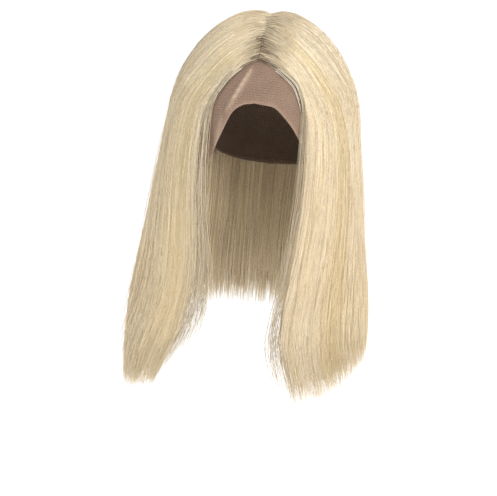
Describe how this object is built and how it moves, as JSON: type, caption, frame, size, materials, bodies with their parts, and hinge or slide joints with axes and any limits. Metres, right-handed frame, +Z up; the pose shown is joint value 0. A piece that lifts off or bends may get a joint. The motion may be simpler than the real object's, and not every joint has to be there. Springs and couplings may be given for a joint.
{
  "type": "bob wig",
  "caption": "Straight long bob wig with a centre parting, a sheer lace front and a stretch net cap, open at the face and below.",
  "frame": {"origin": "top of the wearer's head, where the inside of the cap rests on it", "axes": "+Z up along the wearer's head, -Y towards the face, +X towards the wearer's left"},
  "size_m": [0.2591, 0.2146, 0.3862],
  "materials": {
    "lace": "sheer skin-toned hexagonal net with a cut edge",
    "cap_net": "stretch net with rows of hair sewn on",
    "hair": "straight pale blonde hair with a soft sheen",
    "fine_hair": "short fine blonde hair knotted into the lace"
  },
  "bodies": {
    "root": {"lace_front": "lace", "cap_net": "cap_net", "hair_front_right": "hair", "hair_front_left": "hair", "hair_back": "hair", "hairline_right": "fine_hair", "hairline_left": "fine_hair"}
  },
  "joints": []
}
